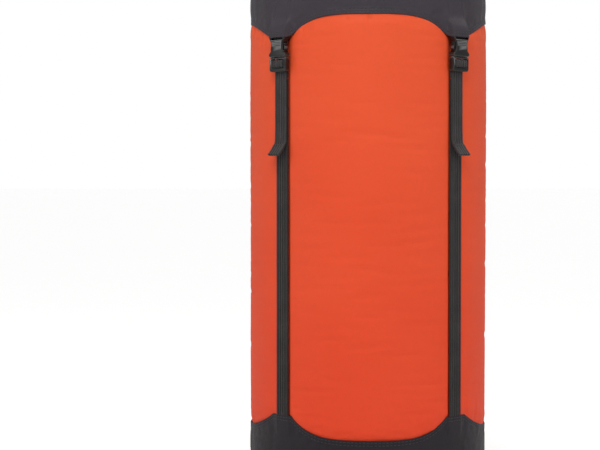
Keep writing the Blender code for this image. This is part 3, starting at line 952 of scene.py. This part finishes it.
def build_ends():
    phi = around(480)
    radii = np.concatenate(
        [np.linspace(PANEL_EDGE, 0.096, 16), np.linspace(0.096, MOUTH_EDGE, 66)[1:]]
    )
    phi2, radius2 = crossed(phi, radii)
    z = dome_z(np.minimum(radius2, PANEL_RADIUS)) + dome_relief(phi2, radius2)
    gather = np.clip((0.062 - radius2) / 0.044, 0.0, 1.0) ** 1.6
    wobble = 1.3 * ring_noise(phi2, 9, radius2 / 0.02, 105)
    pleats = np.cos(phi2 * 19.0 + wobble) + 0.4 * np.cos(phi2 * 31.0 - wobble)
    z += gather * (0.00105 * pleats - 0.001)
    z -= 0.0006 * step(radius2, 0.1035, PANEL_EDGE)
    dome = add_grid("dome_cloth", polar(phi2, radius2, z), LOOK_DOME, True)
    dress(dome, "orange_fabric", "upper", "top_panel")
    fine = around(3000)
    up = np.tile([0.0, 0.0, 1.0], (len(fine), 1))
    for k, ring in enumerate((0.102, 0.0996)):
        height = dome_z(ring) + dome_relief(fine, ring + 0.0 * fine)
        line = polar(fine, ring, height + 0.00008)
        stitches(f"dome_stitch_{k}", line, up, LOOK_ORANGE_THREAD, "upper")

    turn = around(18)
    phi2, turn2 = crossed(phi, turn)
    ripple = np.cos(phi2 * 21.0 + 1.2 * ring_noise(phi2, 8, 0.3, 107))
    size = 0.0026 + 0.00045 * ripple + 0.0002 * ring_noise(phi2, 40, 0, 108)
    ring = HEM_RING + size * np.cos(turn2)
    height = HEM_Z + 0.0001 + size * 1.02 * np.sin(turn2) + 0.0002 * ripple
    hem = add_grid("mouth_hem_cloth", polar(phi2, ring, height), LOOK_DOME, True, True)
    dress(hem, "orange_fabric", "upper", "mouth_hem")

    radii = np.linspace(0.015, 0.0003, 30)
    phi2, radius2 = crossed(phi[::2], radii)
    floor_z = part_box("throat_baffle")[1].z
    folds = np.cos(phi2 * 13.0 + 2.0 * ring_noise(phi2, 7, radius2 / 0.006, 3))
    height = floor_z + 0.0009 * folds * (radius2 / 0.015) - 0.0006
    baffle = add_grid("throat_cloth", polar(phi2, radius2, height), LOOK_BASE, True)
    dress(baffle, "grey_fabric", "upper", "throat_baffle")

    radii = np.concatenate([[PANEL_EDGE, 0.1046], np.linspace(0.104, 0.0004, 60)])
    phi2, radius2 = crossed(phi, radii)
    height = 0.00045 * (1 + ring_noise(phi2, 12, radius2 / 0.02, 111))
    height = height * step(PANEL_EDGE - radius2, 0.004, 0.03) * 0.5
    height += 0.0012 * step(radius2, 0.103, PANEL_EDGE)
    base = add_grid(
        "base_cloth", polar(phi2, radius2, height), LOOK_BASE, True, False, True
    )
    dress(base, "grey_fabric", "lower", "base_panel")

    turn = around(12)
    phi2, turn2 = crossed(phi, turn)
    for name, body, upper in (("base_piping", "lower", 0), ("top_piping", "upper", 1)):
        low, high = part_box(name)
        middle = 0.5 * (low.z + high.z)
        folds = puckers(phi2, 0.0, 95 + upper, 0.01)
        size = 0.00105 + 0.00012 * folds
        ring = high.x - 0.0017 + 0.0002 * folds + size * np.cos(turn2)
        height = middle + size * np.sin(turn2) + 0.00025 * folds * (1 if upper else 0)
        bead = add_grid(f"{name}_cloth", polar(phi2, ring, height), LOOK_BAND, True, True)
        dress(bead, "grey_fabric", body, name)
    for side in ("left", "right"):
        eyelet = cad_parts[f"cord_eyelet_{side}"]
        eyelet.data.materials.clear()
        eyelet.data.materials.append(LOOK_METAL)


# ---- webbing
WEB_THICK = 0.0011


def webbing(name, path, count, look, where, body, doubled=0.0, sway=0.0):
    """Ribbed webbing swept along (v, w) points, with its end folded on itself."""
    line, at = smooth_path(path, count)
    tangent = np.gradient(line, axis=0)
    tangent /= np.linalg.norm(tangent, axis=1, keepdims=True)
    normal = np.stack([-tangent[:, 1], tangent[:, 0]], -1)
    across = np.linspace(-1.0, 1.0, 31)
    rib = 0.00007 * np.cos(across * math.pi * 6.0)
    top = np.sqrt(np.clip(1.0 - np.abs(across) ** 14, 0.0, 1.0))
    fold = np.zeros(count)
    if doubled:
        fold = 0.5 * WEB_THICK * step(at, at[-1] - doubled - 0.0004, at[-1] - doubled)
    half = 0.5 * WEB_THICK + fold
    upper = top * half[:, None] + rib
    lower = -top[::-1] * half[:, None] - rib[::-1]
    u = np.concatenate([across, across[::-1]]) * WEB_HALF_WIDTH
    depth = np.concatenate([upper, lower], 1) - fold[:, None]
    side = sway * np.sin(at / at[-1] * math.pi)
    out = line[:, None] + normal[:, None] * depth[..., None]
    points = np.concatenate([(u + side[:, None])[..., None], out], -1)
    size = len(u)
    faces = grid_faces(count, size, False, True).tolist()
    faces.append(list(range(size)))
    faces.append([(count - 1) * size + k for k in range(size)][::-1])
    item = add_mesh(name, points, faces, look, strap_matrix(STRAPS[where]))
    item.data.set_sharp_from_angle(angle=math.radians(60.0))
    volume_out(item)
    dress(item, "webbing", body)
    return item, points


def volume_out(item):
    """Turns the faces round if the mesh encloses a negative volume."""
    mesh = item.data
    mesh.calc_loop_triangles()
    corners = [[mesh.vertices[k].co for k in t.vertices] for t in mesh.loop_triangles]
    if sum(a.dot(b.cross(c)) for a, b, c in corners) < 0.0:
        mesh.flip_normals()


TAIL_PATH = (
    (-0.0055, -0.004), (0.0055, -0.004), (0.0083, -0.0035), (0.0096, -0.0026),
    (0.01, -0.001), (0.01, 0.0008), (0.0096, 0.00215), (0.0085, 0.0027),
    (0.0053, 0.0027), (0.0042, 0.00215), (0.004, 0.0008), (0.004, -0.0006),
    (0.0038, -0.0019), (0.0024, -0.0025), (0.0, -0.0025), (-0.02, -0.00248),
    (-0.0468, -0.00245), (-0.0548, -0.00225), (-0.0608, -0.00195), (-0.065, -0.0004),
    (-0.0683, 0.0018), (-0.071, 0.0041), (-0.0732, 0.0062),
)
LOOP_PATH = (
    (0.0455, -0.00325), (0.04, -0.00325), (0.035, -0.00315), (0.0318, -0.0034),
    (0.0295, -0.0042), (0.0284, -0.004), (0.0283, -0.003), (0.029, -0.0016),
    (0.0299, 0.0), (0.0305, 0.0016), (0.0318, 0.0026), (0.0336, 0.0025),
    (0.0349, 0.0012), (0.0358, 0.0), (0.0369, -0.001), (0.0388, -0.0017),
    (0.0455, -0.0019),
)
WEB_ROOT = ((0.047, -0.0052), (0.054, -0.0051), (0.0585, -0.0046), (0.0618, -0.00405))


def build_webbing():
    for where in STRAPS:
        body = f"latch_{where}"
        tail, points = webbing(
            f"tail_{where}", TAIL_PATH, 190, LOOK_TAIL, where, body, 0.0115, -0.0003
        )
        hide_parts(f"strap_tail_{where}")
        tack_rows(where, points)
        loop, _ = webbing(f"loop_{where}", LOOP_PATH, 110, LOOK_TAIL, where, "upper")
        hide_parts(f"upper_loop_{where}")
        root_path = [(z - BUCKLE_Z, w) for z, w in WEB_ROOT] + [(WEB_FOOT_V, WEB_LAYER)]
        webbing(f"web_root_{where}", root_path, 30, LOOK_WEB, where, "lower")
        top_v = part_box(f"strap_web_{where}")[1].z - BUCKLE_Z
        seam_v = top_v - WEB_TOP_LENGTH
        bends = np.random.RandomState(7 + len(where)).uniform(-0.00008, 0.00008, 9)
        main_path = [(WEB_FOOT_V, WEB_LAYER)]
        for k, bend in enumerate(bends):
            v = WEB_FOOT_V + (seam_v - WEB_FOOT_V) * (k + 1) / 10.0
            main_path.append((v, WEB_LAYER + bend))
        main_path.append((seam_v, WEB_LAYER))
        web, _ = webbing(f"web_{where}", main_path, 120, LOOK_WEB, where, "lower")
        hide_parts(f"strap_web_{where}")
        shortened(web)
        top_path = [(v, WEB_LAYER) for v in (seam_v, 0.5 * (seam_v + top_v), top_v)]
        top, _ = webbing(f"web_top_{where}", top_path, 14, LOOK_WEB, where, "upper")
        shortened(top)


def shortened(web):
    """Gives the webbing its own copy of its mesh."""
    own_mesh(web)


def tack_rows(where, points):
    """Three rows of stitches across the folded end of a tail."""
    first, last, out = [], [], []
    count, size = points.shape[:2]
    for row in (count - 30, count - 27, count - 6):
        along = points[row + 1, size // 4] - points[row - 1, size // 4]
        normal = np.cross([1.0, 0.0, 0.0], along)
        normal /= np.linalg.norm(normal)
        if normal[2] < 0:
            normal = -normal
        for k in range(5):
            first.append(points[row, 3 + k * 5] + normal * 0.00005)
            last.append(points[row, 6 + k * 5] + normal * 0.00005)
            out.append(normal)
    ends = np.array([first, last, out])
    item = thread_pieces(f"tail_stitch_{where}", *ends, LOOK_THREAD)
    item.matrix_world = strap_matrix(STRAPS[where])
    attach(item, f"latch_{where}")


# ---- buckles
def mirrored(half):
    return list(half) + [(-u, v) for u, v in reversed(half)]


def prism(name, outline, low_w, high_w):
    count = len(outline)
    points = [(u, v, low_w) for u, v in outline] + [(u, v, high_w) for u, v in outline]
    faces = [list(range(count)), list(range(2 * count - 1, count - 1, -1))]
    for k in range(count):
        k2 = (k + 1) % count
        faces.append([k, k + count, k2 + count, k2])
    item = add_mesh(name, points, faces, LOOK_PLASTIC)
    volume_out(item)
    return item


def block(name, low, high):
    outline = [(low[0], low[1]), (high[0], low[1]), (high[0], high[1]), (low[0], high[1])]
    return prism(name, outline, low[2], high[2])


def opening(half_u, low_v, high_v, low_w, high_w):
    """A Boolean step that cuts a box, as wide to each side of the strap's middle."""
    low, high = (-half_u, low_v, low_w), (half_u, high_v, high_w)
    return "DIFFERENCE", block("opening", low, high)


def rounded(half, radius=0.0005):
    """An outline whose corners are cut with two extra points each."""
    loop = mirrored(half)
    made = []
    for k, point in enumerate(loop):
        here = Vector(point)
        for other in (Vector(loop[k - 1]), Vector(loop[(k + 1) % len(loop)])):
            span = other - here
            cut = min(radius, 0.3 * span.length)
            made.append(tuple(here + span.normalized() * cut))
    return made


def carved(item, steps, edge):
    """The item's mesh after a rounded edge and a list of Boolean steps."""
    rounding = item.modifiers.new("edge", "BEVEL")
    assign(rounding, width=edge, segments=3, limit_method="ANGLE")
    rounding.angle_limit = math.radians(40.0)
    for operation, other in steps:
        joined = item.modifiers.new(operation, "BOOLEAN")
        assign(joined, operation=operation, solver="EXACT", object=other)
    finish = item.modifiers.new("soften", "BEVEL")
    assign(finish, width=0.00016, segments=2, limit_method="ANGLE")
    finish.angle_limit = math.radians(50.0)
    bpy.context.view_layer.update()
    graph = bpy.context.evaluated_depsgraph_get()
    mesh = bpy.data.meshes.new_from_object(item.evaluated_get(graph))
    for other in [item] + [other for _, other in steps]:
        bpy.data.objects.remove(other, do_unlink=True)
    mesh.materials.clear()
    mesh.materials.append(LOOK_PLASTIC)
    mesh.shade_smooth()
    mesh.set_sharp_from_angle(angle=math.radians(38.0))
    return mesh


def male_mesh():
    half = [(0.008, 0.0), (0.0093, 0.0005), (0.01, 0.0017)]
    half += [(0.01, 0.006), (0.01, 0.0114), (0.0094, 0.0125)]
    frame_part = prism("male", rounded(half), -0.0025, 0.0025)
    slot = 0.0078
    steps = [
        opening(slot, 0.003, 0.005, -0.004, 0.004),
        opening(slot, 0.0088, 0.0114, -0.004, 0.004),
        opening(slot, 0.004, 0.0102, 0.0016, 0.004),
        opening(slot, -0.001, 0.0102, -0.004, -0.0018),
    ]
    tongue_half = [(0.0021, 0.0119), (0.0021, 0.0226), (0.0013, 0.024)]
    steps.append(("UNION", prism("tongue", mirrored(tongue_half), -0.0013, 0.0013)))
    for side in (-1.0, 1.0):
        low, high = sorted((side * 0.005, side * 0.0086))
        ramp = block("foot", (low, 0.0119, -0.0013), (high, 0.0131, 0.0013))
        steps.append(("UNION", ramp))
    return carved(frame_part, steps, 0.0009)


def female_mesh():
    half = [
        (0.0088, 0.013), (0.01, 0.0141), (0.01, 0.0152), (0.0096, 0.0163),
        (0.0084, 0.0172), (0.0076, 0.0182), (0.0073, 0.02), (0.0072, 0.0225),
        (0.0073, 0.025), (0.0078, 0.0266), (0.0088, 0.0277), (0.0093, 0.029),
        (0.0093, 0.0318), (0.0088, 0.0333), (0.0078, 0.034),
    ]
    shell = prism("female", rounded(half, 0.0004), -0.0035, 0.0035)
    cavity_half = [(0.0082, 0.012), (0.0082, 0.0252), (0.007, 0.0266)]
    steps = [
        ("DIFFERENCE", prism("cavity", mirrored(cavity_half), -0.002, 0.002)),
        opening(0.0079, 0.0278, 0.0314, -0.005, 0.005),
        opening(0.0079, 0.0302, 0.036, 0.0019, 0.005),
        opening(0.0079, 0.0302, 0.036, -0.005, -0.0019),
    ]
    for k in range(3):
        v = 0.0226 + 0.0014 * k
        steps.append(opening(0.0052, v, v + 0.0005, 0.0033, 0.005))
    return carved(shell, steps, 0.001)


def arm_mesh(side):
    root = [math.radians(180.0 + 18.0 * k) for k in range(11)]
    outline = [
        (0.0069 + 0.0009 * math.cos(turn), 0.0139 + 0.0009 * math.sin(turn))
        for turn in root
    ]
    outline += [(0.0078, 0.0165), (0.0078, 0.0184), (0.008, 0.019), (0.0091, 0.0192)]
    outline += [(0.0093, 0.0196)]
    for k in range(4):
        v = 0.0199 + 0.0007 * k
        inward = 0.0001 * k
        outline += [(0.00935 - inward, v), (0.00905 - inward, v + 0.0004)]
    outline += [(0.0084, 0.0232), (0.0078, 0.0245), (0.0073, 0.0251), (0.0068, 0.0252)]
    outline += [(0.0064, 0.0248), (0.0063, 0.0235), (0.0067, 0.0215), (0.0066, 0.0192)]
    outline += [(0.0061, 0.0172)]
    item = prism("arm", [(side * u, v) for u, v in outline], -0.0017, 0.0017)
    return carved(item, [], 0.0003)


def build_buckles():
    male, female = male_mesh(), female_mesh()
    arms = {"left": arm_mesh(-1.0), "right": arm_mesh(1.0)}
    for where, angle in STRAPS.items():
        made = [
            ("buckle_male", male, f"latch_{where}"),
            ("buckle_female", female, "upper"),
            ("arm_left", arms["left"], f"prong_left_{where}"),
            ("arm_right", arms["right"], f"prong_right_{where}"),
        ]
        for kind, mesh, body in made:
            item = linked(f"{kind}_{where}_moulded", mesh.copy())
            item.matrix_world = strap_matrix(angle)
            dress(item, "buckle_plastic", body, f"{kind}_{where}")


build_studio()
build_panels()
build_inner()
build_bands()
build_ends()
build_webbing()
build_buckles()
